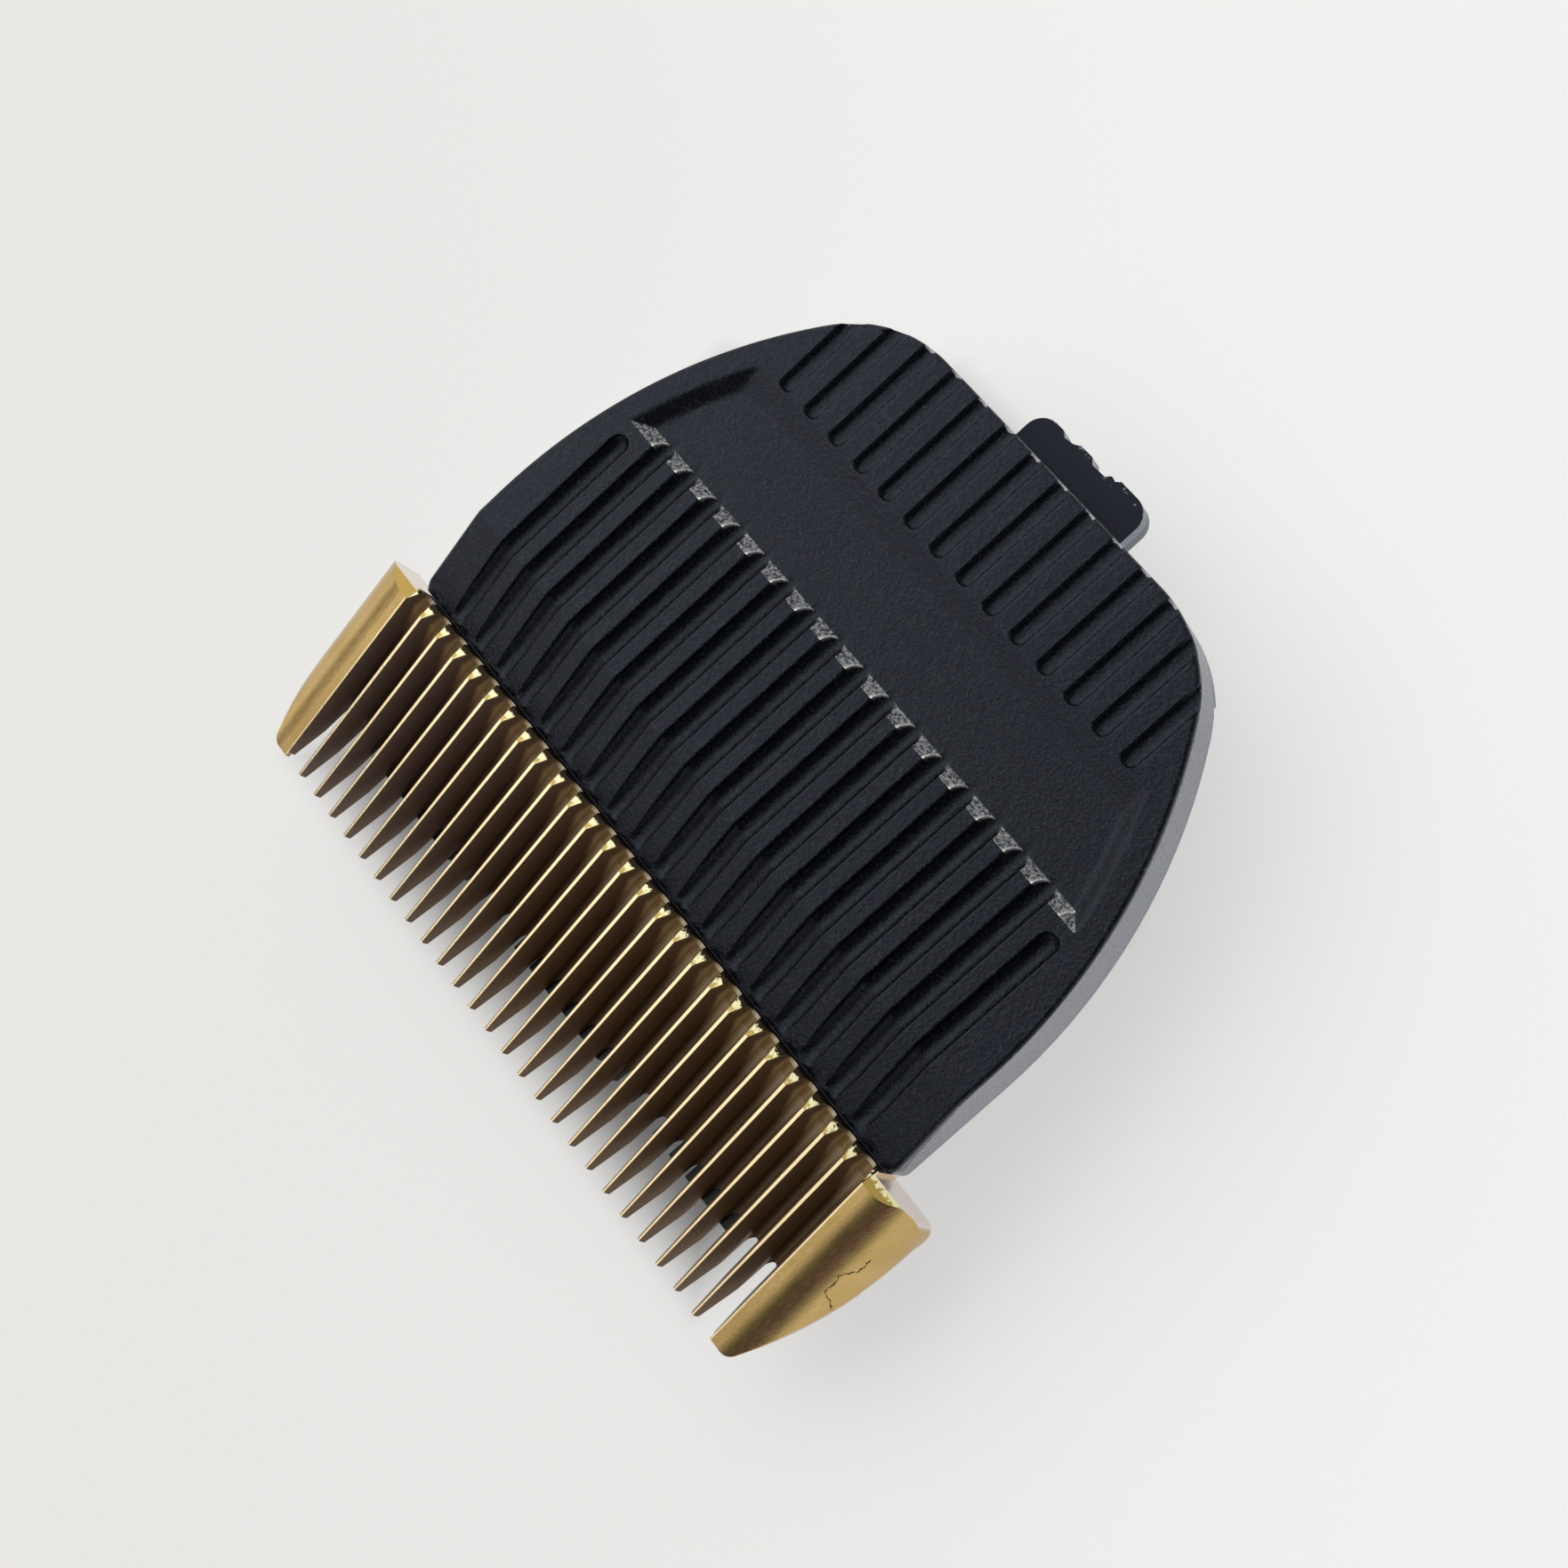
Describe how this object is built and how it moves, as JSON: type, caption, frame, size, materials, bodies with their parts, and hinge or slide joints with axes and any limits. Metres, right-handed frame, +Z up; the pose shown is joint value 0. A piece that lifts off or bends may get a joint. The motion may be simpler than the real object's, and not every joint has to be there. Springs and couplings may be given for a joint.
{
  "type": "hair clipper blade",
  "caption": "Clip-on blade head for a hair clipper: ribbed dark cover with thumb recess and rear hook, gold comb teeth with end guards, sliding cutter and springs beneath.",
  "frame": {"origin": "on the plane the head lies on, under the middle of its footprint", "axes": "+X along the row of teeth, +Y from the tooth tips to the rear hook, +Z up out of the ribbed cover"},
  "size_m": [0.046, 0.0422, 0.0096],
  "materials": {
    "cover_coat": "matte black coating on a light grey casting",
    "comb_gold": "gold coated, ground and polished",
    "cutter_black": "satin black coating",
    "carrier_plastic": "moulded, matte",
    "frame_plastic": "moulded, matte",
    "spring_wire": "drawn spring wire",
    "screw_zinc": "zinc plated"
  },
  "bodies": {
    "head": {"cover": "cover_coat", "fixed_blade": "comb_gold", "spring_frame": "frame_plastic", "spring_left": "spring_wire", "spring_right": "spring_wire", "frame_screws": "screw_zinc"},
    "cutter": {"moving_blade": "cutter_black", "cutter_carrier": "carrier_plastic"}
  },
  "joints": [
    {"name": "cutter_slide", "type": "slide", "parent": "head", "child": "cutter", "axis": [1, 0, 0], "range_m": [-0.0013, 0.0013]}
  ]
}
